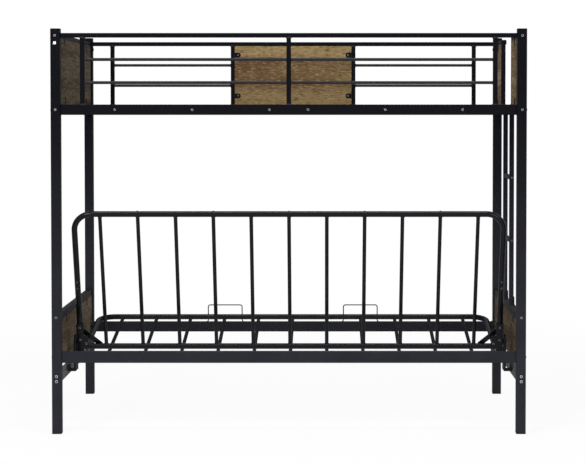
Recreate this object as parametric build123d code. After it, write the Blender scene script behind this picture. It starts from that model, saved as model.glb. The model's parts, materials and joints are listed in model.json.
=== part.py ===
"""Steel bunk bed whose lower level is a sofa that folds flat into a bed.

Millimetres, +Z up. The origin is the centre of the floor under the bed. +X runs along the bed to the
ladder end, and +Y points to the front, where a person sits down. The sofa's back leans towards -Y.
"""

import os
from math import cos, radians, sin

from build123d import *

# Overall frame
FRAME_LENGTH = 2000.0
FRAME_DEPTH = 1060.0
FRAME_HEIGHT = 1710.0
POST_SIDE = 40.0
POST_WALL = 1.5
POST_CORNER = 2.5
FOOT_LIP = 5.0
CAP_LIP = 3.0
PLUG_DEPTH = 18.0
PLUG_GAP = 0.1
OVERRUN = 10.0

# Cross tubes at the two ends, which run along Y between the posts
END_TUBE_WIDTH = 25.0
END_TUBE_TALL = 40.0
END_TOP_TALL = 20.0
END_PANEL_TUBE_TALL = 30.0
TUBE_WALL = 1.5
TUBE_CORNER = 2.2
END_PLATE = 3.0
TOP_TUBE_BELOW_TOP = 20.0
PANEL_TUBE_TOP_Z = 507.0
BASE_TUBE_Z = 233.0

# Long rails, which run along X between the posts
RAIL_WIDTH = 20.0
DECK_RAIL_TALL = 44.0
DECK_BELOW_TOP = 319.0
SOFA_RAIL_TALL = 48.0
SOFA_RAIL_TOP = 348.0

# Guards above the deck
GUARD_TUBE = 19.0
GUARD_TUBE_WALL = 1.2
GUARD_TUBE_CORNER = 2.0
GUARD_BELOW_TOP = 19.0
GUARD_ROD_RADIUS = 6.5
GUARD_ROD_DROPS = (111.0, 208.0)
REAR_UPRIGHT_INSET = 92.0
FRONT_UPRIGHT_INSET = 94.0
PANEL_UPRIGHT_X = 289.0

# Wood panels, their tabs and screws
PANEL_THICK = 15.0
PANEL_EDGE = 0.8
TAB_LONG = 28.0
TAB_WIDE = 23.0
TAB_ROOT = 8.0
TAB_THICK = 2.0
TAB_INSET_Z = 43.0
LOWER_PANEL_GAP = 36.0
UPPER_TAB_Y = 330.0
LOWER_TAB_Y = 320.0
SPLIT_TAB_Y = 355.0
SCREW_RADIUS = 2.0
SCREW_HEAD_RADIUS = 5.0
SCREW_HEAD_TALL = 2.0
SCREW_BITE = 10.0
PILOT_GAP = 0.1

# Ladder at the +X end
STILE_SIDE = 20.0
STILE_Y = 130.0
RUNG_RADIUS = 11.0
RUNG_WALL = 1.2
RUNG_COUNT = 2
GATE_UPRIGHT_Y = 210.0
STILE_SHOE_LONG = 60.0
STILE_SHOE_TALL = 32.0
STILE_SHOE_THICK = 2.5

# Deck slats of the upper bed
SLAT_COUNT = 12
SLAT_END_INSET = 66.8
SLAT_WIDE = 30.0
SLAT_TALL = 15.0
SLAT_WALL = 1.2
HOLDER_WALL = 3.0
HOLDER_DEPTH = 26.0
HOLDER_BACK = 3.0

# Frame bolts
BOLT_RADIUS = 3.0
BOLT_HOLE_GAP = 0.3
BOLT_HEAD_RADIUS = 6.5
BOLT_HEAD_TALL = 3.0
BOLT_BITE = 12.0
BASE_BOLT_PITCH = 21.0

# Sofa mechanism, as places in the YZ plane
BACK_LEAN = 20.0
SEAT_SLOPE = 8.9
RECLINE_ANGLE = 90.0 - BACK_LEAN
SOFA_TUBE_RADIUS = 12.5
SOFA_TUBE_WALL = 1.5
SIDE_TUBE_INSET = 49.0
FLAT_BED_GAP = 0.5
BACK_PIVOT_Y = -283.6
HINGE_ARM = 75.0
PIVOT_RADIUS = 5.0
PIVOT_GAP = 0.05
PIVOT_HEAD_RADIUS = 9.0
PIVOT_HEAD_TALL = 4.0

# Backrest
BACK_TOP = 603.4
BACK_CORNER = 75.0
CROSS_TUBE_DOWN = 24.5
SPINDLE_COUNT = 11
SPINDLE_END_GAP = 110.5
SPINDLE_RADIUS = 8.0
SPINDLE_WALL = 1.2
SLEEVE_JOINT_UP = 275.0
SLEEVE_HALF = 45.0
SLEEVE_WALL = 1.5
SLEEVE_SCREW_UP = 14.5
ARM_WIDE = 30.0
ARM_SHEET = 2.0
ARM_GAP = 0.3
ARM_FRONT = 12.0
ARM_TOP_UP = 90.0
ARM_TAIL = 18.0
ARM_BOLT_UPS = (72.5, 14.0)
ARM_WING_WIDE = 20.0
ARM_WING_TOP_UP = 34.0
ARM_WING_FOOT_UP = -30.0
ARM_WING_CORNER = 8.0
ARM_WING_BOLT_UP = -4.0
SIDE_TUBE_FOOT = 30.0
BRACE_WIDE = 22.0
BRACE_THICK = 3.0
BRACE_TUBE_IN = 7.5
BRACE_TUBE_UP = 46.5
BRACE_CROSS_IN = 81.5
BRACE_CROSS_UP = 4.5

# Seat
SEAT_LENGTH = 630.5
SEAT_CORNER = 75.0
SEAT_REAR_TUBE = 40.0
LUG_WIDE = 24.0
LUG_REACH = 20.0
LUG_SPIGOT = 32.0
GUIDE_REACH = 470.0
GUIDE_PIN_RADIUS = 5.0
GUIDE_HEAD_RADIUS = 8.0
GUIDE_HEAD_TALL = 3.0
GUIDE_SLOT_GAP = 0.4
GUIDE_STEPS = 10
LOOP_X_NEAR = 240.0
LOOP_X_FAR = 400.0
LOOP_WIRE_RADIUS = 2.5
LOOP_UP = 54.0
LOOP_DOWN = 22.0
LOOP_CORNER = 10.0
LOOP_SPLAY = 14.0

# Brackets on the base tubes
SHEET = 3.0
EAR_NEAR_INSET = 29.0
EAR_FAR_INSET = 24.0
EAR_RADIUS = 30.0
EAR_FOOT_BACK = 20.0
EAR_FOOT_FRONT = 60.0
BRACKET_FLOOR_Z = 232.0
BRACKET_BACK_TALL = 28.0
BRACKET_BOLT_RISE = 12.0
BRACKET_BOLT_INSET = 15.0
GUIDE_PLATE_INSET = 30.0
GUIDE_MARGIN = 16.0
GUIDE_FOOT = 110.0

# Worked out from the sizes above
POST_X = (FRAME_LENGTH - POST_SIDE) / 2
POST_Y = (FRAME_DEPTH - POST_SIDE) / 2
SPAN_X = FRAME_LENGTH - 2 * POST_SIDE
SPAN_Y = FRAME_DEPTH - 2 * POST_SIDE
INNER_X = SPAN_X / 2
END_INNER_X = POST_X - END_TUBE_WIDTH / 2
TOP_TUBE_TOP = FRAME_HEIGHT - TOP_TUBE_BELOW_TOP
TOP_TUBE_Z = TOP_TUBE_TOP - END_TOP_TALL / 2
PANEL_TUBE_Z = PANEL_TUBE_TOP_Z - END_PANEL_TUBE_TALL / 2
DECK_TOP = FRAME_HEIGHT - DECK_BELOW_TOP
DECK_RAIL_Z = DECK_TOP - DECK_RAIL_TALL / 2
DECK_UNDER = DECK_TOP - DECK_RAIL_TALL
SOFA_RAIL_Z = SOFA_RAIL_TOP - SOFA_RAIL_TALL / 2
BRACKET_BOLT_Z = BRACKET_FLOOR_Z + BRACKET_BOLT_RISE
BASE_TOP = BASE_TUBE_Z + END_TUBE_TALL / 2
PANEL_TUBE_UNDER = PANEL_TUBE_TOP_Z - END_PANEL_TUBE_TALL
GUARD_TOP_Z = FRAME_HEIGHT - GUARD_BELOW_TOP
GUARD_RAIL_Z = GUARD_TOP_Z - GUARD_TUBE / 2
GUARD_UNDER = GUARD_TOP_Z - GUARD_TUBE
GUARD_INNER_Y = POST_Y - GUARD_TUBE / 2
GUARD_ROD_ZS = [GUARD_TOP_Z - drop for drop in GUARD_ROD_DROPS]
REAR_UPRIGHT_X = INNER_X - REAR_UPRIGHT_INSET
FRONT_UPRIGHT_X = INNER_X - FRONT_UPRIGHT_INSET
SIDE_TUBE_X = INNER_X - SIDE_TUBE_INSET
EAR_NEAR_X = INNER_X - EAR_NEAR_INSET
EAR_FAR_X = INNER_X - EAR_FAR_INSET
GUIDE_PLATE_X = INNER_X - GUIDE_PLATE_INSET
SPINDLE_PITCH = 2 * (SIDE_TUBE_X - SPINDLE_END_GAP) / (SPINDLE_COUNT - 1)
SLAT_PITCH = 2 * (INNER_X - SLAT_END_INSET) / (SLAT_COUNT - 1)
BACK_PIVOT_Z = SOFA_RAIL_TOP + SOFA_TUBE_RADIUS + FLAT_BED_GAP
HINGE_Y = BACK_PIVOT_Y + HINGE_ARM * cos(radians(RECLINE_ANGLE))
HINGE_Z = BACK_PIVOT_Z - HINGE_ARM * sin(radians(RECLINE_ANGLE))
BACK_DOWN = (0, -cos(radians(BACK_LEAN)), -sin(radians(BACK_LEAN)))
SEAT_UP = (0, -sin(radians(SEAT_SLOPE)), cos(radians(SEAT_SLOPE)))
BACK_PLANE = Plane(origin=(0, BACK_PIVOT_Y, BACK_PIVOT_Z), x_dir=(1, 0, 0), z_dir=BACK_DOWN)
SEAT_PLANE = Plane(origin=(0, HINGE_Y, HINGE_Z), x_dir=(1, 0, 0), z_dir=SEAT_UP)
ACROSS = {"x": Plane.YZ, "y": Plane.XZ, "z": Plane.XY}
ENDS = (-1, 1)
CORNERS = [(sx, sy) for sx in ENDS for sy in ENDS]
SPINDLE_XS = [(i - (SPINDLE_COUNT - 1) / 2) * SPINDLE_PITCH for i in range(SPINDLE_COUNT)]
SLAT_XS = [(i - (SLAT_COUNT - 1) / 2) * SLAT_PITCH for i in range(SLAT_COUNT)]
BOLTED_SLAT_XS = [x for i, x in enumerate(SLAT_XS) if i % 2 == (1 if x < 0 else 0)]


def write(node, solids):
    """Writes one node, which is one solid or a group of separate ones."""
    group = [s for piece in solids for s in piece.solids()]
    shape = group[0] if len(group) == 1 else Compound(children=group)
    shape.label = node
    export_step(shape, f"parts/{node}.step")


def block(low, high):
    """A box between its lowest and highest corners."""
    size = [b - a for a, b in zip(low, high)]
    return Pos(*low) * Box(*size, align=(Align.MIN,) * 3)


def square_tube(along, centre, length, width, tall, wall, corner, plate=0):
    """A rectangular tube with rounded corners, closed by end plates where plate isn't zero."""
    outer = RectangleRounded(width, tall, corner)
    inner = RectangleRounded(width - 2 * wall, tall - 2 * wall, corner - wall)
    bore = length - 2 * plate if plate else length + OVERRUN
    plane = ACROSS[along]
    shell = extrude(plane * outer, amount=length / 2, both=True)
    return Pos(*centre) * (shell - extrude(plane * inner, amount=bore / 2, both=True))


def rod(start, end, radius, wall=0):
    """A straight round rod, or a tube where wall isn't zero."""
    line = Vector(*end) - Vector(*start)
    ring = Circle(radius) - Circle(radius - wall) if wall else Circle(radius)
    return extrude(Plane(origin=start, z_dir=line) * ring, amount=line.length)


def bent_tube(path, radius, wall=0):
    """A round tube or wire swept along a path of lines and arcs."""
    ring = Circle(radius) - Circle(radius - wall) if wall else Circle(radius)
    return sweep((path ^ 0) * ring, path=path)


def screw(seat, way, radius, head_radius, head_tall, shank):
    """A domed socket screw. Its head sits on the point seat, and its shank runs along way."""
    head = extrude(Circle(head_radius), amount=-head_tall)
    head = fillet(head.faces().sort_by(Axis.Z)[0].edges(), head_tall * 2 / 3)
    socket = Pos(0, 0, -head_tall) * extrude(RegularPolygon(head_radius / 3, 6), amount=head_tall / 2)
    body = head + extrude(Circle(radius), amount=shank) - socket
    return Plane(origin=seat, z_dir=way).location * body


def hole(seat, way, radius, gap, depth):
    """The clearance hole for a screw placed in the same way."""
    drill = extrude(Circle(radius + gap), amount=depth) + extrude(Circle(radius + gap), amount=-OVERRUN)
    return Plane(origin=seat, z_dir=way).location * drill


def upright_plate(sketch, low_x, thick):
    """A sketch drawn in Y and Z, as a plate that faces along X."""
    return extrude(Plane.YZ.offset(low_x) * sketch, amount=thick)


def mirrored(solids):
    """The solids of the -X side, from those of the +X side."""
    return [mirror(s, about=Plane.YZ) for s in solids]


# Bolt places: seat, direction and shank length
def post_bolts():
    """Bolts through the posts into the end tubes and the long rails."""
    places = []
    reach = POST_SIDE + BOLT_BITE
    half_pitch = BASE_BOLT_PITCH / 2
    heights = (TOP_TUBE_Z, DECK_RAIL_Z, PANEL_TUBE_Z, BASE_TUBE_Z + half_pitch, BASE_TUBE_Z - half_pitch)
    for sx, sy in CORNERS:
        for z in heights:
            places.append(((sx * POST_X, sy * FRAME_DEPTH / 2, z), (0, -sy, 0), reach))
        for z in (DECK_RAIL_Z, SOFA_RAIL_Z):
            places.append(((sx * FRAME_LENGTH / 2, sy * POST_Y, z), (-sx, 0, 0), reach))
    return places


def deck_bolts():
    """Bolts through the deck rails into every second slat."""
    outer_y = POST_Y + RAIL_WIDTH / 2
    return [((x, sy * outer_y, DECK_RAIL_Z), (0, -sy, 0), RAIL_WIDTH + BOLT_BITE)
            for x in BOLTED_SLAT_XS for sy in ENDS]


def bracket_bolts():
    """Bolts through the bracket back plates into the base tubes."""
    ys = [BACK_PIVOT_Y - EAR_FOOT_BACK + BRACKET_BOLT_INSET,
          BACK_PIVOT_Y + EAR_FOOT_FRONT - BRACKET_BOLT_INSET]
    ys += [guide_foot_y() + s * (GUIDE_FOOT / 2 - BRACKET_BOLT_INSET) for s in ENDS]
    seat_x = END_INNER_X - SHEET
    return [((sx * seat_x, y, BRACKET_BOLT_Z), (sx, 0, 0), SHEET + TUBE_WALL + BOLT_BITE / 2)
            for y in ys for sx in ENDS]


def bolt_holes(places):
    return [hole(seat, way, BOLT_RADIUS, BOLT_HOLE_GAP, shank + BOLT_HOLE_GAP)
            for seat, way, shank in places]


def bolts(places):
    return [screw(seat, way, BOLT_RADIUS, BOLT_HEAD_RADIUS, BOLT_HEAD_TALL, shank)
            for seat, way, shank in places]


# Guide path of the seat's pins
def guide_point(share):
    """Where the guide pin is, in Y and Z, when the back has gone this share of its travel."""
    turn = radians(share * RECLINE_ANGLE - RECLINE_ANGLE)
    slope = radians(SEAT_SLOPE * (1 - share))
    y = BACK_PIVOT_Y + HINGE_ARM * cos(turn) + GUIDE_REACH * cos(slope)
    z = BACK_PIVOT_Z + HINGE_ARM * sin(turn) + GUIDE_REACH * sin(slope)
    return y, z


def guide_foot_y():
    return (guide_point(0)[0] + guide_point(1)[0]) / 2


# Frame
def make_posts(holes):
    low = FOOT_LIP
    length = FRAME_HEIGHT - FOOT_LIP - CAP_LIP
    names = {-1: "left", 1: "right"}
    sides = {-1: "rear", 1: "front"}
    feet = []
    caps = []
    plug_side = POST_SIDE - 2 * POST_WALL - 2 * PLUG_GAP
    for sx, sy in CORNERS:
        centre = (sx * POST_X, sy * POST_Y, low + length / 2)
        post = square_tube("z", centre, length, POST_SIDE, POST_SIDE, POST_WALL, POST_CORNER)
        write(f"post_{sides[sy]}_{names[sx]}", [post - holes])
        lip = RectangleRounded(POST_SIDE, POST_SIDE, POST_CORNER)
        plug = RectangleRounded(plug_side, plug_side, POST_CORNER)
        at = (sx * POST_X, sy * POST_Y)
        foot = extrude(lip, amount=FOOT_LIP) + extrude(plug, amount=FOOT_LIP + PLUG_DEPTH)
        cap = extrude(lip, amount=-CAP_LIP) + extrude(plug, amount=-CAP_LIP - PLUG_DEPTH)
        feet.append(Pos(*at, 0) * foot)
        caps.append(Pos(*at, FRAME_HEIGHT) * cap)
    write("post_feet", feet)
    write("post_caps", caps)


def make_end_tubes(holes):
    """The tubes across each end. At the ladder end the top one is left out between the gate's uprights."""
    tubes = {"end_top_tube": (TOP_TUBE_Z, END_TOP_TALL),
             "end_deck_tube": (DECK_RAIL_Z, DECK_RAIL_TALL),
             "end_panel_tube": (PANEL_TUBE_Z, END_PANEL_TUBE_TALL),
             "end_base_tube": (BASE_TUBE_Z, END_TUBE_TALL)}
    gate_edge = GATE_UPRIGHT_Y + GUARD_TUBE / 2
    stub = SPAN_Y / 2 - gate_edge
    whole = [(0, SPAN_Y)]
    stubs = [(sy * (gate_edge + stub / 2), stub) for sy in ENDS]
    for name, (z, tall) in tubes.items():
        for sx, side in zip(ENDS, ("left", "right")):
            spans = stubs if f"{name}_{side}" == "end_top_tube_right" else whole
            pieces = [square_tube("y", (sx * POST_X, y, z), length, END_TUBE_WIDTH, tall, TUBE_WALL,
                                  TUBE_CORNER, END_PLATE) - holes for y, length in spans]
            write(f"{name}_{side}", pieces)


def make_long_rails(holes):
    rails = {"deck_rail": (DECK_RAIL_Z, DECK_RAIL_TALL), "sofa_rail": (SOFA_RAIL_Z, SOFA_RAIL_TALL)}
    for name, (z, tall) in rails.items():
        for sy, side in zip(ENDS, ("rear", "front")):
            rail = square_tube("x", (0, sy * POST_Y, z), SPAN_X, RAIL_WIDTH, tall, TUBE_WALL,
                               TUBE_CORNER, END_PLATE)
            write(f"{name}_{side}", [rail - holes])


def guard_upright(x, y, low, high, plate=0):
    centre = (x, y, (low + high) / 2)
    return square_tube("z", centre, high - low, GUARD_TUBE, GUARD_TUBE, GUARD_TUBE_WALL,
                       GUARD_TUBE_CORNER, plate)


def guard_rods(y, low_x, high_x):
    half = GUARD_TUBE / 2
    return [rod((low_x + half, y, z), (high_x - half, y, z), GUARD_ROD_RADIUS) for z in GUARD_ROD_ZS]


def make_guards():
    for sy, side in zip(ENDS, ("rear", "front")):
        rail = square_tube("x", (0, sy * POST_Y, GUARD_RAIL_Z), SPAN_X, GUARD_TUBE, GUARD_TUBE,
                           GUARD_TUBE_WALL, GUARD_TUBE_CORNER)
        write(f"guard_rail_{side}", [rail])
    rear_xs = (-REAR_UPRIGHT_X, 0, REAR_UPRIGHT_X)
    front_xs = (-FRONT_UPRIGHT_X, -PANEL_UPRIGHT_X, PANEL_UPRIGHT_X, FRONT_UPRIGHT_X)
    write("guard_uprights_rear", [guard_upright(x, -POST_Y, DECK_TOP, GUARD_UNDER) for x in rear_xs])
    write("guard_uprights_front", [guard_upright(x, POST_Y, DECK_TOP, GUARD_UNDER) for x in front_xs])
    rods = guard_rods(-POST_Y, rear_xs[0], rear_xs[1]) + guard_rods(-POST_Y, rear_xs[1], rear_xs[2])
    rods += guard_rods(POST_Y, front_xs[0], front_xs[1]) + guard_rods(POST_Y, front_xs[2], front_xs[3])
    write("guard_rods", rods)


# Wood panels
def board(low, high):
    return chamfer(block(low, high).edges(), PANEL_EDGE)


def tab(root, way, face, reach):
    """A tab welded to a tube at root, which reaches along way over a panel, and faces along face."""
    plane = Plane(origin=root, x_dir=way, z_dir=face)
    tongue = SlotOverall(2 * reach, TAB_WIDE) & Pos(reach / 2, 0) * Rectangle(reach, TAB_WIDE)
    foot = Pos(-TAB_ROOT / 2, 0) * Rectangle(TAB_ROOT, TAB_WIDE)
    return extrude(plane * (tongue + foot), amount=TAB_THICK)


def panel_tabs():
    """Root, way, face and reach of every tab."""
    places = []
    half = GUARD_TUBE / 2
    for sx in ENDS:
        side_x = sx * (PANEL_UPRIGHT_X - half)
        for z in (DECK_TOP + TAB_INSET_Z, GUARD_UNDER - TAB_INSET_Z):
            places.append(((side_x, GUARD_INNER_Y, z), (-sx, 0, 0), (0, -1, 0), TAB_LONG))
    for sx in ENDS:
        upper_ys = (UPPER_TAB_Y, -UPPER_TAB_Y) if sx < 0 else (SPLIT_TAB_Y, -SPLIT_TAB_Y)
        for y in upper_ys:
            places.append(((sx * END_INNER_X, y, DECK_TOP), (0, 0, 1), (-sx, 0, 0), TAB_LONG))
            top = TOP_TUBE_TOP - END_TOP_TALL
            places.append(((sx * END_INNER_X, y, top), (0, 0, -1), (-sx, 0, 0), TAB_LONG))
        for y in (LOWER_TAB_Y, -LOWER_TAB_Y):
            tall = LOWER_PANEL_GAP + TAB_LONG
            places.append(((sx * END_INNER_X, y, BASE_TOP), (0, 0, 1), (-sx, 0, 0), tall))
            places.append(((sx * END_INNER_X, y, PANEL_TUBE_UNDER), (0, 0, -1), (-sx, 0, 0), TAB_LONG))
    return places


def tab_screw_places():
    places = []
    for root, way, face, reach in panel_tabs():
        centre = Vector(*root) + Vector(*way) * (reach - TAB_WIDE / 2) + Vector(*face) * TAB_THICK
        places.append((tuple(centre), tuple(-Vector(*face)), TAB_THICK + SCREW_BITE))
    return places


def small_holes(places):
    return [hole(seat, way, SCREW_RADIUS, PILOT_GAP, shank + PILOT_GAP) for seat, way, shank in places]


def small_screws(places):
    return [screw(seat, way, SCREW_RADIUS, SCREW_HEAD_RADIUS, SCREW_HEAD_TALL, shank)
            for seat, way, shank in places]


def make_panels():
    pilots = small_holes(tab_screw_places())
    half = GUARD_TUBE / 2
    edge_x = PANEL_UPRIGHT_X - half
    guard_low = (-edge_x, GUARD_INNER_Y, DECK_TOP)
    write("guard_panel", [board(guard_low, (edge_x, GUARD_INNER_Y + PANEL_THICK, GUARD_UNDER)) - pilots])
    half_y = SPAN_Y / 2
    upper_top = TOP_TUBE_TOP - END_TOP_TALL
    outer_x = END_INNER_X + PANEL_THICK
    left_low = (-outer_x, -half_y, DECK_TOP)
    write("end_panel_upper_left", [board(left_low, (-END_INNER_X, half_y, upper_top)) - pilots])
    gate_edge = GATE_UPRIGHT_Y + half
    rear = board((END_INNER_X, -half_y, DECK_TOP), (outer_x, -gate_edge, upper_top)) - pilots
    front = board((END_INNER_X, gate_edge, DECK_TOP), (outer_x, half_y, upper_top)) - pilots
    write("end_panels_upper_right", [rear, front])
    for side, low_x in (("left", -outer_x), ("right", END_INNER_X)):
        low = (low_x, -half_y, BASE_TOP + LOWER_PANEL_GAP)
        high = (low_x + PANEL_THICK, half_y, PANEL_TUBE_UNDER)
        write(f"end_panel_lower_{side}", [board(low, high) - pilots])
    write("panel_tabs", [tab(*place) - pilots for place in panel_tabs()])


# Ladder
def rung_zs():
    pitch = (DECK_UNDER - PANEL_TUBE_TOP_Z) / (RUNG_COUNT + 1)
    return [PANEL_TUBE_TOP_Z + pitch * (i + 1) for i in range(RUNG_COUNT)]


def rung_screw_places():
    outer_y = STILE_Y + STILE_SIDE / 2
    return [((POST_X, sy * outer_y, z), (0, -sy, 0), STILE_SIDE + SCREW_BITE)
            for z in rung_zs() for sy in ENDS]


def shoe_screw_places():
    seat_x = POST_X + STILE_SIDE / 2 + STILE_SHOE_THICK
    z = PANEL_TUBE_TOP_Z + STILE_SHOE_TALL / 2
    return [((seat_x, sy * STILE_Y, z), (-1, 0, 0), SCREW_BITE) for sy in ENDS]


def ladder_shoe(y):
    """A bent foot bracket: a plate on the panel tube each side of the stile, and a cheek outside it."""
    half = STILE_SIDE / 2
    inner_x = POST_X - END_TUBE_WIDTH / 2
    outer_x = POST_X + half
    top = PANEL_TUBE_TOP_Z + STILE_SHOE_THICK
    floor = block((inner_x, y - STILE_SHOE_LONG / 2, PANEL_TUBE_TOP_Z),
                  (outer_x + STILE_SHOE_THICK, y + STILE_SHOE_LONG / 2, top))
    foot = block((inner_x, y - half, PANEL_TUBE_TOP_Z), (outer_x, y + half, top))
    cheek = block((outer_x, y - STILE_SIDE, PANEL_TUBE_TOP_Z),
                  (outer_x + STILE_SHOE_THICK, y + STILE_SIDE, PANEL_TUBE_TOP_Z + STILE_SHOE_TALL))
    return floor - foot + cheek


def make_ladder():
    drilled = small_holes(rung_screw_places() + shoe_screw_places())
    length = DECK_UNDER - PANEL_TUBE_TOP_Z
    middle = PANEL_TUBE_TOP_Z + length / 2
    stiles = [square_tube("z", (POST_X, sy * STILE_Y, middle), length, STILE_SIDE, STILE_SIDE,
                          GUARD_TUBE_WALL, GUARD_TUBE_CORNER) - drilled for sy in ENDS]
    write("ladder_stiles", stiles)
    inner_y = STILE_Y - STILE_SIDE / 2
    rungs = [rod((POST_X, -inner_y, z), (POST_X, inner_y, z), RUNG_RADIUS, RUNG_WALL) for z in rung_zs()]
    write("ladder_rungs", rungs)
    gate_x = END_INNER_X + GUARD_TUBE / 2
    gate = [guard_upright(gate_x, sy * GATE_UPRIGHT_Y, DECK_TOP, TOP_TUBE_TOP, END_PLATE) for sy in ENDS]
    write("ladder_gate_uprights", gate)
    write("ladder_shoes", [ladder_shoe(sy * STILE_Y) - drilled for sy in ENDS])


# Deck slats
def slat_holder(x, sy):
    """A plastic socket on the rail's inner face, which the end of a slat slides into."""
    wide = SLAT_WIDE / 2 + PLUG_GAP
    tall = SLAT_TALL / 2 + PLUG_GAP
    back_y = POST_Y - RAIL_WIDTH / 2
    mouth_y = back_y - HOLDER_DEPTH
    shell = block((x - wide - HOLDER_WALL, mouth_y, DECK_RAIL_Z - tall - HOLDER_WALL),
                  (x + wide + HOLDER_WALL, back_y, DECK_RAIL_Z + tall + HOLDER_WALL))
    pocket = block((x - wide, mouth_y - OVERRUN, DECK_RAIL_Z - tall),
                   (x + wide, back_y - HOLDER_BACK, DECK_RAIL_Z + tall))
    socket = shell - pocket
    return socket if sy > 0 else mirror(socket, about=Plane.XZ)


def deck_slat(x, holes):
    bolted = x in BOLTED_SLAT_XS
    length = 2 * (POST_Y - RAIL_WIDTH / 2 - (0 if bolted else HOLDER_BACK))
    slat = square_tube("y", (x, 0, DECK_RAIL_Z), length, SLAT_WIDE, SLAT_TALL, SLAT_WALL,
                       GUARD_TUBE_CORNER, END_PLATE if bolted else 0)
    return slat - holes if bolted else slat


def make_deck(holes):
    held_xs = [x for x in SLAT_XS if x not in BOLTED_SLAT_XS]
    write("deck_slats", [deck_slat(x, holes) for x in SLAT_XS])
    write("slat_holders", [slat_holder(x, sy) for x in held_xs for sy in ENDS])
    write("slat_bolts", bolts(deck_bolts()))


# Brackets that carry the sofa
def sheet_foot(low_y, high_y, ear_x):
    """The floor and back plate of a bent bracket, on the inner face of the base tube."""
    floor = block((ear_x, low_y, BRACKET_FLOOR_Z), (END_INNER_X, high_y, BRACKET_FLOOR_Z + SHEET))
    back = block((END_INNER_X - SHEET, low_y, BRACKET_FLOOR_Z),
                 (END_INNER_X, high_y, BRACKET_FLOOR_Z + BRACKET_BACK_TALL))
    return floor + back


def foot_edges(low_y, high_y):
    centre = Pos((low_y + high_y) / 2, BRACKET_FLOOR_Z + SHEET / 2)
    return (centre * Rectangle(high_y - low_y, SHEET)).edges()


def pivot_bracket(holes):
    low_y = BACK_PIVOT_Y - EAR_FOOT_BACK
    high_y = BACK_PIVOT_Y + EAR_FOOT_FRONT
    top = Pos(BACK_PIVOT_Y, BACK_PIVOT_Z) * Circle(EAR_RADIUS)
    outline = make_hull(top.edges() + foot_edges(low_y, high_y))
    eye = Pos(BACK_PIVOT_Y, BACK_PIVOT_Z) * Circle(PIVOT_RADIUS + PIVOT_GAP)
    ears = [upright_plate(outline - eye, x, SHEET) for x in (EAR_NEAR_X, EAR_FAR_X)]
    return sheet_foot(low_y, high_y, EAR_NEAR_X) + ears - holes


def guide_plate(holes):
    low_y = guide_foot_y() - GUIDE_FOOT / 2
    high_y = guide_foot_y() + GUIDE_FOOT / 2
    pad = GUIDE_PIN_RADIUS + GUIDE_MARGIN
    rounds = [Pos(*guide_point(share)) * Circle(pad) for share in (0, 0.5, 1)]
    outline = make_hull([e for r in rounds for e in r.edges()] + foot_edges(low_y, high_y))
    plate = upright_plate(outline, GUIDE_PLATE_X, SHEET)
    slot_radius = GUIDE_PIN_RADIUS + GUIDE_SLOT_GAP
    points = [guide_point(i / GUIDE_STEPS) for i in range(GUIDE_STEPS + 1)]
    for near, far in zip(points, points[1:]):
        ends = [Pos(*p) * Circle(slot_radius) for p in (near, far)]
        plate -= upright_plate(make_hull(ends[0].edges() + ends[1].edges()), GUIDE_PLATE_X - OVERRUN,
                               SHEET + 2 * OVERRUN)
    return sheet_foot(low_y, high_y, GUIDE_PLATE_X) + plate - holes


def pivot_bolt():
    """The fixed bolt on which one side of the back turns."""
    inner_x = SIDE_TUBE_X - ARM_WIDE / 2
    y, z = BACK_PIVOT_Y, BACK_PIVOT_Z
    outer_x = EAR_FAR_X + SHEET
    shank = rod((inner_x, y, z), (outer_x, y, z), PIVOT_RADIUS)
    heads = [rod((inner_x - PIVOT_HEAD_TALL, y, z), (inner_x, y, z), PIVOT_HEAD_RADIUS),
             rod((outer_x, y, z), (outer_x + PIVOT_HEAD_TALL, y, z), PIVOT_HEAD_RADIUS)]
    return shank + heads


def pivot_spacer():
    """The bush that keeps the arm clear of the bracket, and the one between the two ears."""
    y, z = BACK_PIVOT_Y, BACK_PIVOT_Z
    arm_x = SIDE_TUBE_X + ARM_WIDE / 2
    spans = ((arm_x + ARM_GAP, EAR_NEAR_X), (EAR_NEAR_X + SHEET, EAR_FAR_X))
    bushes = [rod((a, y, z), (b, y, z), PIVOT_HEAD_RADIUS) for a, b in spans]
    bore = rod((arm_x - OVERRUN, y, z), (EAR_FAR_X + OVERRUN, y, z), PIVOT_RADIUS + PIVOT_GAP)
    return [b - bore for b in bushes]


def make_brackets(holes):
    right = pivot_bracket(holes)
    write("pivot_bracket_right", [right])
    write("pivot_bracket_left", mirrored([right]))
    plate = guide_plate(holes)
    write("guide_plate_right", [plate])
    write("guide_plate_left", mirrored([plate]))
    write("back_pivot_bolts", [pivot_bolt()] + mirrored([pivot_bolt()]))
    write("pivot_bushes", pivot_spacer() + mirrored(pivot_spacer()))


# Backrest, drawn flat: X along the bed, Y up the back from the pivot, Z towards the rear
def on_back(solids):
    return [BACK_PLANE.location * s for s in solids]


def both_ends(solid):
    return [solid, mirror(solid, about=Plane.YZ)]


def back_fastener_places():
    """Seat, direction and shank of each screw in the back, still drawn flat."""
    skin = SOFA_TUBE_RADIUS
    top = [((x, BACK_TOP + skin, 0), (0, -1, 0), 3 * skin) for x in SPINDLE_XS[1::2]]
    sleeve = [((sx * SIDE_TUBE_X, SLEEVE_JOINT_UP + s * SLEEVE_SCREW_UP, skin), (0, 0, -1), SCREW_BITE)
              for sx in ENDS for s in ENDS]
    web = skin + ARM_GAP + ARM_SHEET
    wing_x = SIDE_TUBE_X - ARM_WIDE / 2 - ARM_WING_WIDE / 2
    spots = [(SIDE_TUBE_X, up) for up in ARM_BOLT_UPS] + [(wing_x, ARM_WING_BOLT_UP)]
    arm = [((sx * x, up, web), (0, 0, -1), ARM_SHEET + ARM_GAP + SCREW_BITE / 2)
           for sx in ENDS for x, up in spots]
    return top, sleeve, arm


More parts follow.
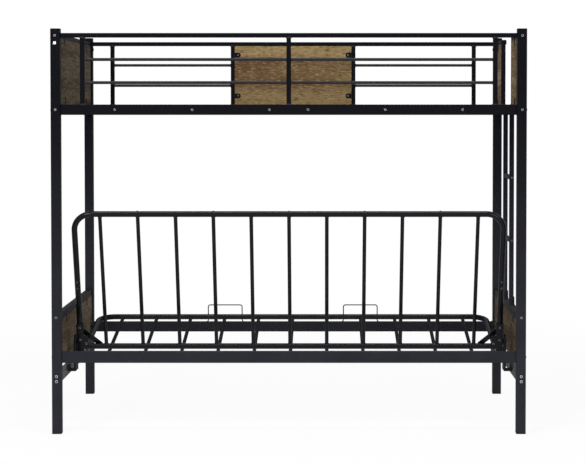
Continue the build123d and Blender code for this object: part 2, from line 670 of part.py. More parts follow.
def recline_arm():
    """A channel that carries the back: flanges each side of the tube, and a web behind it with a wing."""
    low_x = SIDE_TUBE_X - ARM_WIDE / 2
    tail = -HINGE_ARM - ARM_TAIL
    web_z = SOFA_TUBE_RADIUS + ARM_GAP
    shell = block((low_x, tail, -ARM_FRONT), (low_x + ARM_WIDE, ARM_TOP_UP, web_z + ARM_SHEET))
    pocket = block((low_x + ARM_SHEET, tail - OVERRUN, -ARM_FRONT - OVERRUN),
                   (low_x + ARM_WIDE - ARM_SHEET, ARM_TOP_UP + OVERRUN, web_z))
    front_edges = shell.edges().filter_by(Axis.X).group_by(Axis.Z)[0]
    shell = fillet(front_edges, ARM_TAIL - ARM_SHEET * 2)
    bores = [rod((low_x - OVERRUN, y, 0), (low_x + ARM_WIDE + OVERRUN, y, 0), PIVOT_RADIUS + PIVOT_GAP)
             for y in (0, -HINGE_ARM)]
    wing = block((low_x - ARM_WING_WIDE, ARM_WING_FOOT_UP, web_z),
                 (low_x + ARM_SHEET, ARM_WING_TOP_UP, web_z + ARM_SHEET))
    wing = fillet(wing.edges().filter_by(Axis.Z).group_by(Axis.X)[0], ARM_WING_CORNER)
    return shell - pocket - bores + wing


def make_backrest():
    top, sleeve, arm = back_fastener_places()
    drilled = [hole(s, w, SCREW_RADIUS, PILOT_GAP, d + PILOT_GAP) for s, w, d in top + sleeve + arm]
    radius = SOFA_TUBE_RADIUS
    path = FilletPolyline((-SIDE_TUBE_X, SLEEVE_JOINT_UP), (-SIDE_TUBE_X, BACK_TOP), (SIDE_TUBE_X, BACK_TOP),
                          (SIDE_TUBE_X, SLEEVE_JOINT_UP), radius=BACK_CORNER)
    write("back_hoop", on_back([bent_tube(path, radius, SOFA_TUBE_WALL) - drilled]))
    pivot_bore = rod((0, 0, 0), (FRAME_LENGTH / 2, 0, 0), PIVOT_RADIUS + PIVOT_GAP)
    side = rod((SIDE_TUBE_X, -SIDE_TUBE_FOOT, 0), (SIDE_TUBE_X, SLEEVE_JOINT_UP, 0), radius, SOFA_TUBE_WALL)
    side = side - pivot_bore
    write("back_side_tubes", on_back([s - drilled for s in both_ends(side)]))
    inner = radius - SOFA_TUBE_WALL - PILOT_GAP
    sleeve_tube = rod((SIDE_TUBE_X, SLEEVE_JOINT_UP - SLEEVE_HALF, 0),
                      (SIDE_TUBE_X, SLEEVE_JOINT_UP + SLEEVE_HALF, 0), inner, SLEEVE_WALL)
    write("back_sleeves", on_back([s - drilled for s in both_ends(sleeve_tube)]))
    reach = SIDE_TUBE_X - ARM_WIDE / 2
    cross = [(-reach, -CROSS_TUBE_DOWN, 0), (reach, -CROSS_TUBE_DOWN, 0)]
    write("back_cross_tube", on_back([rod(*cross, radius, SOFA_TUBE_WALL)]))
    cores = [rod((-reach, y, 0), (reach, y, 0), radius) for y in (-CROSS_TUBE_DOWN, BACK_TOP)]
    spindles = [rod((x, -CROSS_TUBE_DOWN, 0), (x, BACK_TOP, 0), SPINDLE_RADIUS, SPINDLE_WALL) - cores
                for x in SPINDLE_XS]
    write("back_spindles", on_back([s - drilled for s in spindles]))
    upper = (SIDE_TUBE_X - BRACE_TUBE_IN, BRACE_TUBE_UP)
    lower = (SIDE_TUBE_X - BRACE_CROSS_IN, BRACE_CROSS_UP - CROSS_TUBE_DOWN)
    ends = [Pos(*p) * Circle(BRACE_WIDE / 2) for p in (upper, lower)]
    brace = extrude(make_hull(ends[0].edges() + ends[1].edges()), amount=-BRACE_THICK)
    write("back_corner_braces", on_back(both_ends(Pos(0, 0, -radius) * brace)))
    write("recline_arms", on_back([a - drilled for a in both_ends(recline_arm())]))
    small = [screw(s, w, SCREW_RADIUS, SCREW_HEAD_RADIUS, SCREW_HEAD_TALL, d) for s, w, d in top + sleeve]
    large = [screw(s, w, SCREW_RADIUS, BOLT_HEAD_RADIUS, BOLT_HEAD_TALL, d) for s, w, d in arm]
    write("back_screws", on_back(small + large))
    outer = SIDE_TUBE_X + ARM_WIDE / 2
    pin = rod((reach, -HINGE_ARM, 0), (outer, -HINGE_ARM, 0), PIVOT_RADIUS)
    heads = [rod((reach - PIVOT_HEAD_TALL, -HINGE_ARM, 0), (reach, -HINGE_ARM, 0), PIVOT_HEAD_RADIUS),
             rod((outer, -HINGE_ARM, 0), (outer + PIVOT_HEAD_TALL, -HINGE_ARM, 0), PIVOT_HEAD_RADIUS)]
    write("seat_hinge_bolts", on_back(both_ends(pin + heads)))


# Seat, drawn flat: X along the bed, Y forwards from the hinge, Z up
def on_seat(solids):
    return [SEAT_PLANE.location * s for s in solids]


def hinge_lug():
    """The solid end of a side tube, rounded about the hinge bolt."""
    low_x = SIDE_TUBE_X - LUG_WIDE / 2
    radius = SOFA_TUBE_RADIUS
    outline = Circle(radius) + Pos(LUG_REACH / 2, 0) * Rectangle(LUG_REACH, 2 * radius)
    tongue = upright_plate(outline - Circle(PIVOT_RADIUS + PIVOT_GAP), low_x, LUG_WIDE)
    spigot = rod((SIDE_TUBE_X, LUG_REACH - PLUG_GAP, 0), (SIDE_TUBE_X, LUG_REACH + LUG_SPIGOT, 0),
                 radius - SOFA_TUBE_WALL - PLUG_GAP)
    envelope = rod((SIDE_TUBE_X, LUG_REACH, 0), (SIDE_TUBE_X, -2 * radius, 0), radius)
    return (tongue & envelope) + spigot


def mattress_loop():
    """A wire loop ahead of the front tube, with two short feet bent under it."""
    y = SEAT_LENGTH + SOFA_TUBE_RADIUS + LOOP_WIRE_RADIUS
    points = [(LOOP_X_NEAR - LOOP_SPLAY, -LOOP_DOWN - LOOP_SPLAY), (LOOP_X_NEAR, -LOOP_DOWN),
              (LOOP_X_NEAR, LOOP_UP), (LOOP_X_FAR, LOOP_UP), (LOOP_X_FAR, -LOOP_DOWN),
              (LOOP_X_FAR + LOOP_SPLAY, -LOOP_DOWN - LOOP_SPLAY)]
    path = FilletPolyline(*[(x, y, z) for x, z in points], radius=LOOP_CORNER)
    return bent_tube(path, LOOP_WIRE_RADIUS)


def guide_pin():
    near_x = SIDE_TUBE_X
    plate_x = GUIDE_PLATE_X + SHEET + ARM_GAP
    shank = rod((near_x, GUIDE_REACH, 0), (plate_x, GUIDE_REACH, 0), GUIDE_PIN_RADIUS)
    head = rod((plate_x, GUIDE_REACH, 0), (plate_x + GUIDE_HEAD_TALL, GUIDE_REACH, 0), GUIDE_HEAD_RADIUS)
    return shank + head


def make_seat():
    radius = SOFA_TUBE_RADIUS
    path = FilletPolyline((-SIDE_TUBE_X, LUG_REACH), (-SIDE_TUBE_X, SEAT_LENGTH), (SIDE_TUBE_X, SEAT_LENGTH),
                          (SIDE_TUBE_X, LUG_REACH), radius=SEAT_CORNER)
    pin_bores = both_ends(rod((SIDE_TUBE_X, GUIDE_REACH, 0), (FRAME_LENGTH / 2, GUIDE_REACH, 0),
                              GUIDE_PIN_RADIUS + PIVOT_GAP))
    write("seat_hoop", on_seat([bent_tube(path, radius, SOFA_TUBE_WALL) - pin_bores]))
    sides = [rod((sx * SIDE_TUBE_X, 0, 0), (sx * SIDE_TUBE_X, SEAT_LENGTH, 0), radius) for sx in ENDS]
    rear = rod((-SIDE_TUBE_X, SEAT_REAR_TUBE, 0), (SIDE_TUBE_X, SEAT_REAR_TUBE, 0), radius, SOFA_TUBE_WALL)
    write("seat_rear_tube", on_seat([rear - sides]))
    cores = [rod((-SIDE_TUBE_X, y, 0), (SIDE_TUBE_X, y, 0), radius) for y in (SEAT_REAR_TUBE, SEAT_LENGTH)]
    slats = [rod((x, SEAT_REAR_TUBE, 0), (x, SEAT_LENGTH, 0), SPINDLE_RADIUS, SPINDLE_WALL) - cores
             for x in SPINDLE_XS]
    write("seat_slats", on_seat(slats))
    write("seat_hinge_lugs", on_seat(both_ends(hinge_lug())))
    write("seat_guide_pins", on_seat(both_ends(guide_pin())))
    write("mattress_loops", on_seat(both_ends(mattress_loop())))


def main():
    os.makedirs("parts", exist_ok=True)
    holes = bolt_holes(post_bolts() + deck_bolts() + bracket_bolts())
    make_posts(holes)
    make_end_tubes(holes)
    make_long_rails(holes)
    make_guards()
    make_panels()
    make_ladder()
    make_deck(holes)
    make_brackets(holes)
    write("frame_bolts", bolts(post_bolts() + bracket_bolts()))
    write("small_screws", small_screws(tab_screw_places() + rung_screw_places() + shoe_screw_places()))
    make_backrest()
    make_seat()


main()
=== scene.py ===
"""Looks of the bunk bed with the folding sofa: finishes, wood, fittings, light and camera."""

import json
import math

import bmesh
import bpy
from mathutils import Matrix, Vector


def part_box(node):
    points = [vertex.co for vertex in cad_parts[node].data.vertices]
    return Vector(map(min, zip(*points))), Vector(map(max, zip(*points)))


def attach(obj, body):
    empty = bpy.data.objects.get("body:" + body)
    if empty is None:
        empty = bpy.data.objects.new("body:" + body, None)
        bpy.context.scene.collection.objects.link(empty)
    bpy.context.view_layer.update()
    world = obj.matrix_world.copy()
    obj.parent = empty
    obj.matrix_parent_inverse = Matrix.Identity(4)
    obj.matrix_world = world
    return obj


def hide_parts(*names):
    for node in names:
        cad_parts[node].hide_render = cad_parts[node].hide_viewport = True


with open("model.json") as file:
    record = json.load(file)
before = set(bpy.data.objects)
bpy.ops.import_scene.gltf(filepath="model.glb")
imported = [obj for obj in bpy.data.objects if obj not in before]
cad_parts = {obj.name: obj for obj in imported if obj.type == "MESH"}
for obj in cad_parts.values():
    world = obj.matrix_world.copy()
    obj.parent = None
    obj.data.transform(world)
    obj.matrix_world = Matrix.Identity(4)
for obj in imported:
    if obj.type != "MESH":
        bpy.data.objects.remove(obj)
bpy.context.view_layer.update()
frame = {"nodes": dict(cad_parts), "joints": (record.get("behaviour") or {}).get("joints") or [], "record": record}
nodes = frame["nodes"]
slots = {part["node"]: part["material_slot"] for part in frame["record"]["subparts"]}

# Camera, recovered from the photograph, whose frame is 585 by 465 pixels
PHOTO_WIDTH = 585
PHOTO_HEIGHT = 465
FOCAL_PX = 1723
VANISH_X_PX = 324.2
VANISH_Y_PX = 107.1
CAMERA_AT = (0.149, -7.764, 1.380)
SENSOR = 36.0
SHIFT_Y = -0.12

# Directions
ENDS = (-1, 1)
CORNERS = [(sx, sy) for sx in ENDS for sy in ENDS]
UP = (0, 0, 1)
DOWN = (0, 0, -1)

# The bunk frame, in metres
POST_X = 0.980
POST_Y = 0.510
POST_HALF = 0.020
POST_FACE_X = 1.000
POST_FACE_Y = 0.530
POST_TOP = 1.707
RAIL_HALF = 0.010
END_INNER_X = 0.9675
TOP_TUBE_UNDER = 1.670
DECK_TOP = 1.391
DECK_TUBE_TALL = 0.044
PANEL_TUBE_TOP = 0.507
PANEL_TUBE_UNDER = 0.477
BASE_TOP = 0.253
SLATS = 12
SLAT_PITCH = 0.1624

# Its guards, gate and ladder
GUARD_UNDER = 1.672
GUARD_HALF = 0.0095
GUARD_ROD_RADIUS = 0.0065
GUARD_ROD_ZS = (1.580, 1.483)
REAR_UPRIGHT_XS = (-0.868, 0.0, 0.868)
FRONT_UPRIGHT_XS = (-0.866, -0.289, 0.289, 0.866)
GATE_X = 0.977
GATE_Y = 0.210
STUB_TALL = 0.020
STILE_Y = 0.130
STILE_FACE_X = 0.9925
STILE_FACE_Y = 0.140
LADDER_STEPS = 3

# Its bolts, and the tabs that hold the panels
DECK_BOLT_Z = 1.369
BASE_BOLT_ZS = (0.2435, 0.2225)
END_BOLT_ZS = (1.680, DECK_BOLT_Z, 0.492, *BASE_BOLT_ZS)
RAIL_BOLT_ZS = (DECK_BOLT_Z, 0.324)
BRACKET_BOLT_Z = 0.244
BRACKET_BOLT_YS = (-0.2886, -0.2386, 0.1939, 0.2739)
BRACKET_PLATE = 0.003
SHOE_SCREW_UP = 0.016
TAB_REACH = 0.028
TAB_THICK = 0.002
TAB_SCREW_IN = 0.0115
GUARD_TAB_IN = 0.043
UPPER_TAB_YS = {-1: 0.330, 1: 0.355}
LOWER_TAB_Y = 0.320
LOWER_PANEL_GAP = 0.036

# The sofa, whose back turns on the pivot and carries the seat's hinge
PIVOT = Vector(frame["joints"][0]["pos_m"])
HINGE = Vector(frame["joints"][1]["pos_m"])
TUBE_RADIUS = 0.0125
SPINDLE_RADIUS = 0.008
SPINDLE_PITCH = 0.1601
SPINDLES = 11
SIDE_TUBE_X = 0.911
EAR_OUTER_X = 0.939
ARM_HALF = 0.015
ARM_PLATE = 0.0023
ARM_BOLTS = ((SIDE_TUBE_X, 0.0725), (SIDE_TUBE_X, 0.014), (0.886, -0.004))
BACK_LEAN = math.radians(20)
BACK_TOP = 0.6034
CROSS_DOWN = 0.0245
SLEEVE_UP = 0.275
SLEEVE_SCREW_OFF = 0.0145
SEAT_SLOPE = math.radians(8.9)
SEAT_REAR = 0.040
SEAT_FRONT = 0.6305


# Shader maths
class Val:
    """A shader socket that can be used in Python expressions."""

    def __init__(self, finish, socket):
        self.finish = finish
        self.socket = socket

    def _math(self, operation, first, second):
        node = self.finish.node("ShaderNodeMath", {"operation": operation}, {0: first, 1: second})
        return Val(self.finish, node.outputs[0])

    def __add__(self, other):
        return self._math("ADD", self, other)

    def __mul__(self, other):
        return self._math("MULTIPLY", self, other)

    __radd__ = __add__
    __rmul__ = __mul__

    def clamp(self):
        """The value, held between 0 and 1."""
        return self._math("MINIMUM", self._math("MAXIMUM", self, 0.0), 1.0)


class Finish:
    """A procedural material, with helpers that add and link its nodes."""

    def __init__(self, name):
        self.material = bpy.data.materials.new(name)
        self.material.use_nodes = True
        self.tree = self.material.node_tree
        self.shader = self.tree.nodes["Principled BSDF"]
        self.place = Val(self, self.node("ShaderNodeTexCoord").outputs["Object"])

    def node(self, kind, settings=None, inputs=None):
        """A new node of a type, with its settings and the values or links of its sockets."""
        made = self.tree.nodes.new(kind)
        for key, value in (settings or {}).items():
            setattr(made, key, value)
        for key, value in (inputs or {}).items():
            self.feed(made.inputs[key], value)
        return made

    def feed(self, socket, value):
        """Links a value to a socket, or sets the socket to a number, a vector or a colour."""
        if isinstance(value, Val):
            self.tree.links.new(value.socket, socket)
        elif socket.type == "RGBA":
            socket.default_value = (*value, 1.0)
        else:
            socket.default_value = value

    def axis(self, index):
        """The Object coordinate along one axis, 0 for X and 2 for Z."""
        split = self.node("ShaderNodeSeparateXYZ", None, {0: self.place})
        return Val(self, split.outputs[index])

    def stretched(self, scale, offset):
        """Object coordinates, scaled along each axis and then moved."""
        inputs = {"Vector": self.place, "Scale": scale, "Location": offset}
        return Val(self, self.node("ShaderNodeMapping", None, inputs).outputs[0])

    def noise(self, scale, vector=None, detail=3.0, rough=0.5, warp=0.0):
        """Noise from 0 to 1, on Object coordinates or on others that it is given."""
        inputs = {"Vector": vector or self.place, "Scale": scale, "Detail": detail,
                  "Roughness": rough, "Distortion": warp}
        return Val(self, self.node("ShaderNodeTexNoise", None, inputs).outputs["Fac"])

    def spread(self, value, low, high, out_low=0.0, out_high=1.0):
        """The value's range from low to high, smoothly mapped to the output range."""
        inputs = {"Value": value, "From Min": low, "From Max": high,
                  "To Min": out_low, "To Max": out_high}
        node = self.node("ShaderNodeMapRange", {"interpolation_type": "SMOOTHSTEP"}, inputs)
        return Val(self, node.outputs[0])

    def blend(self, share, first, second):
        """Two colours mixed by a share."""
        inputs = {0: share, 6: first, 7: second}
        return Val(self, self.node("ShaderNodeMix", {"data_type": "RGBA"}, inputs).outputs[2])

    def bump(self, height, strength, distance):
        """Fine relief, from a height over the surface."""
        inputs = {"Height": height, "Strength": strength, "Distance": distance}
        self.set(Normal=Val(self, self.node("ShaderNodeBump", None, inputs).outputs[0]))

    def set(self, **values):
        """Feeds the shader's own sockets, whose names are written with _ for a space."""
        for key, value in values.items():
            self.feed(self.shader.inputs[key.replace("_", " ")], value)


# Finishes: the heights between which painted light from the floor grows, the coats' gloss,
# and how far out on the seat's hoop its gloss fades
FLOOR_LIGHT_BAND = (1.5, 0.2)
TUBE_GLOSS = 0.24
DULL_GLOSS = 0.02
DULL_FROM = 0.790
DULL_TO = 0.860


def floor_lit_coat(m, high, low):
    """A coat's colour, made paler towards the floor with painted light from the floor, and its cloud."""
    cloud = m.noise(6.0, detail=4.0)
    # Painted light from the floor: the coat grows paler towards the floor, unevenly with its cloud
    painted_floor_light = m.spread(m.axis(2), *FLOOR_LIGHT_BAND) * m.spread(cloud, 0.25, 0.75, 0.75, 1.0)
    return m.blend(painted_floor_light, high, low or high), cloud


def rubbed(m, scale):
    """A few small rubbed places."""
    return m.spread(m.noise(scale, detail=5.0, rough=0.7), 0.62, 0.80)


def powder_black(name, high, low=None):
    """Satin black powder coat, with its colour high up and, if it differs, its paler colour near the floor, which
    is painted light from the floor.
    """
    m = Finish(name)
    coat, cloud = floor_lit_coat(m, high, low)
    rub = rubbed(m, 38.0)
    m.set(Base_Color=m.blend(rub * 0.2, coat, (0.034, 0.035, 0.040)),
          Roughness=0.62 + cloud * 0.10 + rub * 0.08, Specular_IOR_Level=0.03)
    m.bump(m.noise(950.0, detail=2.0), 0.07, 0.0005)
    return m.material


def tube_black(name, high, low=None, gloss=TUBE_GLOSS, dull_sides=False):
    """Round tubes and rods, in a glossier coat that may be dull at the sides of the bed."""
    m = Finish(name)
    coat, cloud = floor_lit_coat(m, high, low)
    weight = gloss
    if dull_sides:
        across = m.axis(0)
        weight = m.spread(across * across, DULL_FROM ** 2, DULL_TO ** 2, gloss, DULL_GLOSS)
    rub = rubbed(m, 60.0)
    m.set(Base_Color=m.blend(rub * 0.2, coat, (0.040, 0.041, 0.046)),
          Roughness=0.46 + cloud * 0.10 + rub * 0.10, Specular_IOR_Level=gloss * 0.1,
          Coat_Weight=weight, Coat_Roughness=0.10)
    m.bump(m.noise(1100.0, detail=2.0), 0.05, 0.0004)
    return m.material


def moulded_black():
    """Moulded plastic with a fine spark texture."""
    m = Finish("moulded_black")
    scuff = m.spread(m.noise(90.0, detail=4.0), 0.58, 0.76)
    m.set(Base_Color=m.blend(scuff * 0.5, (0.0045, 0.0045, 0.0052), (0.022, 0.022, 0.022)),
          Roughness=0.60 + scuff * 0.18, Specular_IOR_Level=0.04)
    m.bump(m.noise(1500.0, detail=1.0), 0.22, 0.0004)
    return m.material


def dark_zinc():
    """Blackened bolts, rubbed bright in places."""
    m = Finish("dark_zinc")
    mottle = m.noise(420.0, detail=4.0)
    wear_and_highlight = m.spread(m.noise(900.0, detail=3.0), 0.52, 0.70)
    m.set(Base_Color=m.blend(wear_and_highlight * 0.5, (0.010, 0.010, 0.012), (0.060, 0.060, 0.063)),
          Roughness=0.36 + mottle * 0.2, Metallic=0.3 + wear_and_highlight * 0.5, Specular_IOR_Level=0.12)
    m.bump(mottle, 0.10, 0.0003)
    return m.material


def highlight_rim_finish(name, low, high):
    """Bright steel for the rings on bolt heads, which are painted highlights."""
    m = Finish(name)
    brushed = m.noise(500.0, detail=3.0)
    m.set(Base_Color=m.blend(brushed, low, high), Roughness=0.40 + brushed * 0.2, Metallic=0.7)
    m.bump(brushed, 0.10, 0.0002)
    return m.material


def weld_black():
    """Weld beads under the coat."""
    m = Finish("weld_black")
    scales = m.noise(700.0, detail=3.0, warp=0.8)
    m.set(Base_Color=m.blend(scales, (0.0060, 0.0062, 0.0080), (0.0230, 0.0235, 0.0270)),
          Roughness=0.40 + scales * 0.2, Specular_IOR_Level=0.12)
    m.bump(scales, 0.5, 0.0010)
    return m.material


def rustic_oak(name, grain, light, seed, heart=None, stretch=3.5):
    """Rustic oak decor: honey and redder bands along the grain, fine streaks and dark pores.

    A redder heart has four heights: where it begins, is full, begins to fade and has gone.
    """
    m = Finish(name)

    def figure(length, thick, detail, rough, warp=0.0):
        """Noise that is long on the grain and thin across it, in metres."""
        scale = [1 / thick] * 3
        scale[grain] = 1 / (length * stretch)
        place = m.stretched(scale, (seed, seed * 0.7, seed * 0.3))
        return m.noise(1.0, place, detail, rough, warp)

    def tone(color, power=1.0):
        """A colour in the board's own light, which counts for less at a low power."""
        return tuple(c * light ** power for c in color)

    bands = figure(0.55, 0.085, 2.0, 0.5, 0.4)
    streaks = figure(0.085, 0.0080, 5.0, 0.62, 0.25)
    flecks = figure(0.030, 0.0085, 3.0, 0.6)
    glints = figure(0.026, 0.0065, 3.0, 0.6)
    pores = figure(0.012, 0.0022, 2.0, 0.5)
    cloud = figure(0.110, 0.045, 3.0, 0.6)

    red = m.spread(bands, 0.56, 0.44)
    if heart:
        begins, full, fades, gone = heart
        wander = m.axis(2) + bands * 0.050 + cloud * 0.020
        inside = m.spread(wander, begins, full) * m.spread(wander, gone, fades)
        inside = inside * m.spread(m.axis(0), -0.10, 0.20, 1.0, 0.66)
        red = (red * 0.15 + inside * m.spread(bands, 0.60, 0.40, 0.60, 1.0)).clamp()
        top_band = m.spread(wander, fades, gone)
        pale = m.blend(top_band, tone((0.218, 0.150, 0.068)), (0.240, 0.169, 0.077))
        dark = tone((0.108, 0.056, 0.026))
    else:
        pale = tone((0.212, 0.163, 0.100))
        dark = tone((0.110, 0.066, 0.038))

    color = m.blend(red, pale, dark)
    for grains, low, high, most, stain, power in (
            (cloud, 0.45, 0.70, 0.30, (0.255, 0.185, 0.090), 1.0),
            (streaks, 0.50, 0.64, 0.50, (0.070, 0.042, 0.020), 1.0),
            (flecks, 0.50, 0.66, 0.60, (0.058, 0.036, 0.019), 1.0),
            (glints, 0.50, 0.68, 0.42, (0.390, 0.290, 0.150), 0.6),
            (pores, 0.60, 0.74, 0.50, (0.030, 0.020, 0.012), 1.0)):
        color = m.blend(m.spread(grains, low, high, 0.0, most), color, tone(stain, power))
    m.set(Base_Color=color, Roughness=0.66 + streaks * 0.14, Specular_IOR_Level=0.03)
    m.bump(streaks * 0.5 + flecks * 0.25 + pores * 0.25, 0.35, 0.0006)
    return m.material


def blank_label():
    """A small plain paper sticker."""
    m = Finish("blank_label")
    fibre = m.noise(2500.0, detail=3.0)
    m.set(Base_Color=m.blend(fibre, (0.70, 0.70, 0.70), (0.80, 0.80, 0.80)),
          Roughness=0.55 + fibre * 0.1, Specular_IOR_Level=0.2)
    m.bump(fibre, 0.05, 0.0002)
    return m.material


# The photograph shows the ends' tubes darker than the posts, and the base tubes much paler
# A coat's second colour is its colour near the floor, made paler with painted light from the floor
POWDER = powder_black("powder_black", (0.0038, 0.0039, 0.0056), (0.0225, 0.0230, 0.0280))
# A darker copy of the coat for the ends' tubes: painted shade
INNER = powder_black("powder_inner_painted_shade", (0.0022, 0.0023, 0.0034), (0.0085, 0.0088, 0.0115))
# A much paler copy of the coat for the base tubes: painted light
BASE = powder_black("powder_base_painted_light", (0.0950, 0.0960, 0.1020))
SEAT_SLATS = tube_black("slat_black", (0.0060, 0.0064, 0.0088), gloss=DULL_GLOSS)
HOOP = tube_black("hoop_black", (0.0050, 0.0053, 0.0078), dull_sides=True)
TUBE = tube_black("tube_black", (0.0024, 0.0026, 0.0044), (0.0050, 0.0053, 0.0078))
# A lighter copy of the tube coat for the guard rods, standing in for the light on their tops: painted light
RODS = tube_black("rod_black_painted_light", (0.0120, 0.0123, 0.0145))
PLASTIC = moulded_black()
ZINC = dark_zinc()
DIM_HIGHLIGHT_RIM = highlight_rim_finish("painted_highlight_zinc", (0.18, 0.18, 0.19), (0.32, 0.32, 0.33))
BRIGHT_HIGHLIGHT_RIM = highlight_rim_finish("painted_highlight_steel", (0.30, 0.30, 0.31), (0.50, 0.50, 0.52))
WELD = weld_black()
LABEL = blank_label()
SLOT_FINISH = {"black_metal": POWDER, "black_plastic": PLASTIC, "bolt_steel": ZINC}
NODE_FINISH = {"guard_rods": RODS, "seat_slats": SEAT_SLATS, "seat_hoop": HOOP}

ALONG_X, ALONG_Y = 0, 1
HEART = (1.478, 1.522, 1.632, 1.655)
# End boards' light shares: painted shade on the left and lower right boards, painted light on the upper right ones
OAKS = {
    "guard_panel": rustic_oak("oak_guard", ALONG_X, 0.86, 3.1, HEART, 1.0),
    "end_panel_upper_left": rustic_oak("oak_end_upper_left", ALONG_Y, 0.36, 8.4),
    "end_panels_upper_right": rustic_oak("oak_end_upper_right", ALONG_Y, 1.10, 5.2),
    "end_panel_lower_left": rustic_oak("oak_end_lower_left", ALONG_Y, 0.52, 1.7),
    "end_panel_lower_right": rustic_oak("oak_end_lower_right", ALONG_Y, 0.42, 11.3),
}


# Mesh helpers
SQUARE_ON = 0.9
RING_SIDES = 8
SHARP = math.radians(50)


def deselect():
    bpy.ops.object.select_all(action="DESELECT")


def select(obj):
    """Selects one object alone, and makes it the active one."""
    deselect()
    obj.select_set(True)
    bpy.context.view_layer.objects.active = obj


def settle(obj):
    """Applies the object's place to its mesh, so that the object sits at the origin."""
    select(obj)
    bpy.ops.object.transform_apply(location=True, rotation=True, scale=True)
    return obj


def cuboid(low, high):
    """A cube primitive, drawn out to a box between two corners."""
    deselect()
    low, high = Vector(low), Vector(high)
    bpy.ops.mesh.primitive_cube_add(size=1, location=(low + high) / 2)
    obj = bpy.context.object
    obj.scale = high - low
    return settle(obj)


def disc(radius, tall, sides, base=0.0):
    """A cylinder primitive round the Z axis, standing on a height."""
    deselect()
    bpy.ops.mesh.primitive_cylinder_add(vertices=sides, radius=radius, depth=tall,
                                        location=(0, 0, base + tall / 2))
    return settle(bpy.context.object)


def torus(radius, thick, segments=28, height=0.0):
    """A torus primitive round the Z axis, at a height."""
    deselect()
    bpy.ops.mesh.primitive_torus_add(major_segments=segments, minor_segments=RING_SIDES,
                                     major_radius=radius, minor_radius=thick,
                                     location=(0, 0, height))
    return bpy.context.object


def looks_up(normal):
    return normal.z > SQUARE_ON


def looks_down(normal):
    return normal.z < -SQUARE_ON


def pick(obj, test):
    """Leaves edit mode open with only the faces selected whose normal passes a test."""
    select(obj)
    bpy.ops.object.mode_set(mode="EDIT")
    bpy.ops.mesh.select_mode(type="FACE")
    bpy.ops.mesh.select_all(action="DESELECT")
    mesh = bmesh.from_edit_mesh(obj.data)
    for face in mesh.faces:
        if test(face.normal):
            face.select_set(True)
    bmesh.update_edit_mesh(obj.data)


def close_edit():
    bpy.ops.object.mode_set(mode="OBJECT")


def inset(thick, depth=0.0, each=False):
    bpy.ops.mesh.inset(thickness=thick, depth=depth, use_individual=each)


def extrude(way):
    bpy.ops.mesh.extrude_region_move(TRANSFORM_OT_translate={"value": tuple(way)})


def bevel(obj, width, steps=2, angle=math.radians(35)):
    """Rounds the edges that turn by more than an angle."""
    select(obj)
    edge = obj.modifiers.new("edge", "BEVEL")
    edge.width = width
    edge.segments = steps
    edge.limit_method = "ANGLE"
    edge.angle_limit = angle
    bpy.ops.object.modifier_apply(modifier=edge.name)


def smooth(obj, angle=math.radians(40)):
    select(obj)
    bpy.ops.object.shade_smooth_by_angle(angle=angle)


def joined(parts):
    """Several objects made one."""
    deselect()
    for part in parts:
        part.select_set(True)
    bpy.context.view_layer.objects.active = parts[0]
    bpy.ops.object.join()
    return bpy.context.object


def copies(pattern, places):
    """One object made of a copy of the pattern at each place, each place a matrix."""
    made = []
    for place in places:
        twin = pattern.copy()
        twin.data = pattern.data.copy()
        twin.matrix_world = place
        bpy.context.collection.objects.link(twin)
        made.append(twin)
    bpy.data.objects.remove(pattern, do_unlink=True)
    return settle(joined(made))


def facing(at, way, roll=0.0):
    """A matrix that puts a pattern's origin at a place and its +Z along way, with its +X level."""
    turn = Vector(way).normalized().to_track_quat("Z", "Y")
    return Matrix.Translation(at) @ turn.to_matrix().to_4x4() @ Matrix.Rotation(roll, 4, "Z")


def finished(obj, name, finish):
    """The object with its name, and one finish all over."""
    obj.name = name
    obj.data.name = name
    obj.data.materials.clear()
    obj.data.materials.append(finish)
    return obj


def keep(obj, body, slot, *stands_for):
    """Gives a piece the body that it rides on, and hides the nodes that it replaces; its slot is not used."""
    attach(obj, body)
    if stands_for:
        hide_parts(*stands_for)
    return obj


# Places on the leaning back and the sloping seat, which turn with their bodies
def on_back(x, up, out=0.0):
    """A point of the backrest: up along it from the pivot, and out towards the rear."""
    s, c = math.sin(BACK_LEAN), math.cos(BACK_LEAN)
    return Vector((x, PIVOT.y - s * up - c * out, PIVOT.z + c * up - s * out))


def on_seat(x, ahead):
    """A point of the seat, ahead of its hinge in the plane of its tubes."""
    s, c = math.sin(SEAT_SLOPE), math.cos(SEAT_SLOPE)
    return Vector((x, HINGE.y + c * ahead, HINGE.z + s * ahead))


def spaced(count, pitch):
    """Places in a row that has its middle at 0."""
    return [(i - (count - 1) / 2) * pitch for i in range(count)]


BACK_UP = on_back(0, 1) - on_back(0, 0)
BACK_OUT = on_back(0, 0, 1) - on_back(0, 0)
SEAT_AHEAD = on_seat(0, 1) - on_seat(0, 0)
SPINDLE_XS = spaced(SPINDLES, SPINDLE_PITCH)
SLAT_XS = spaced(SLATS, SLAT_PITCH)

# Every second slat is bolted, alike on both sides of the middle, and sockets hold the others
BOLTED_XS = [x for i, x in enumerate(SLAT_XS) if i % 2 == (1 if x < 0 else 0)]


# Wood panels
EDGE_BAND = 0.0012
HAIRLINE = EDGE_BAND / 4
HAIRLINE_DEEP = EDGE_BAND / 6


def board(low, high, thin):
    """A board with banded edges: a hairline round each face, and softly rounded corners."""
    obj = cuboid(low, high)
    pick(obj, lambda normal: abs(normal[thin]) > SQUARE_ON)
    inset(EDGE_BAND, each=True)
    inset(HAIRLINE, -HAIRLINE_DEEP, each=True)
    inset(HAIRLINE, HAIRLINE_DEEP, each=True)
    close_edit()
    bevel(obj, EDGE_BAND * 0.6, 2, math.radians(60))
    smooth(obj)
    return obj


def keep_board(obj, name, node):
    keep(finished(obj, name, OAKS[node]), "bunk_frame", slots[node], node)


